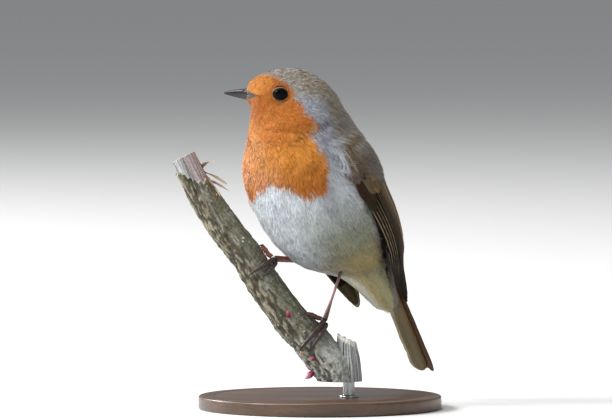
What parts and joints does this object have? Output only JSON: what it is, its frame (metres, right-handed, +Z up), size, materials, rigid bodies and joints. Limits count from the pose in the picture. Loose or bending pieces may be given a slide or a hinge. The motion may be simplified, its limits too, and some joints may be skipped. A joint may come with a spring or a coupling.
{
  "type": "european robin",
  "caption": "Life-size still model of a perched European robin, head in profile, gripping a short cut branch held up by a plain round display stand.",
  "frame": {"origin": "centre of the underside of the stand's base", "axes": "+Z up; the bird's bill points along -X; -Y is the side the picture is taken from"},
  "size_m": [0.0997, 0.09, 0.1266],
  "materials": {
    "plumage_head": "soft matte feathers, orange face and throat under an olive-brown crown with a blue-grey band between",
    "plumage_body": "soft matte feathers, orange breast, pale grey belly, buff flanks, olive-brown back",
    "plumage_flight": "stiff brown wing and tail feathers with paler edges",
    "eye": "wet, nearly black",
    "horn": "dark satin horn of bill and claws",
    "leg_skin": "scaled red-brown skin",
    "bark": "rough grey-brown bark with lichen, pale cut ends",
    "bud": "small closed reddish buds",
    "base_wood": "dark stained, satin",
    "rod_steel": "brushed"
  },
  "bodies": {
    "root": {"head": "plumage_head", "neck": "plumage_head", "trunk": "plumage_body", "tail": "plumage_flight", "eye_left": "eye", "eye_right": "eye", "bill_upper": "horn", "bill_lower": "horn", "wing_left": "plumage_flight", "wing_right": "plumage_flight", "thigh_left": "plumage_body", "tarsus_left": "leg_skin", "toe_left_middle": "leg_skin", "claw_left_middle": "horn", "toe_left_outer": "leg_skin", "claw_left_outer": "horn", "toe_left_inner": "leg_skin", "claw_left_inner": "horn", "toe_left_back": "leg_skin", "claw_left_back": "horn", "thigh_right": "plumage_body", "tarsus_right": "leg_skin", "toe_right_middle": "leg_skin", "claw_right_middle": "horn", "toe_right_outer": "leg_skin", "claw_right_outer": "horn", "toe_right_inner": "leg_skin", "claw_right_inner": "horn", "toe_right_back": "leg_skin", "claw_right_back": "horn", "perch_branch": "bark", "perch_bud_1": "bud", "perch_bud_2": "bud", "perch_bud_3": "bud", "stand_base": "base_wood", "stand_rod": "rod_steel"}
  },
  "joints": []
}
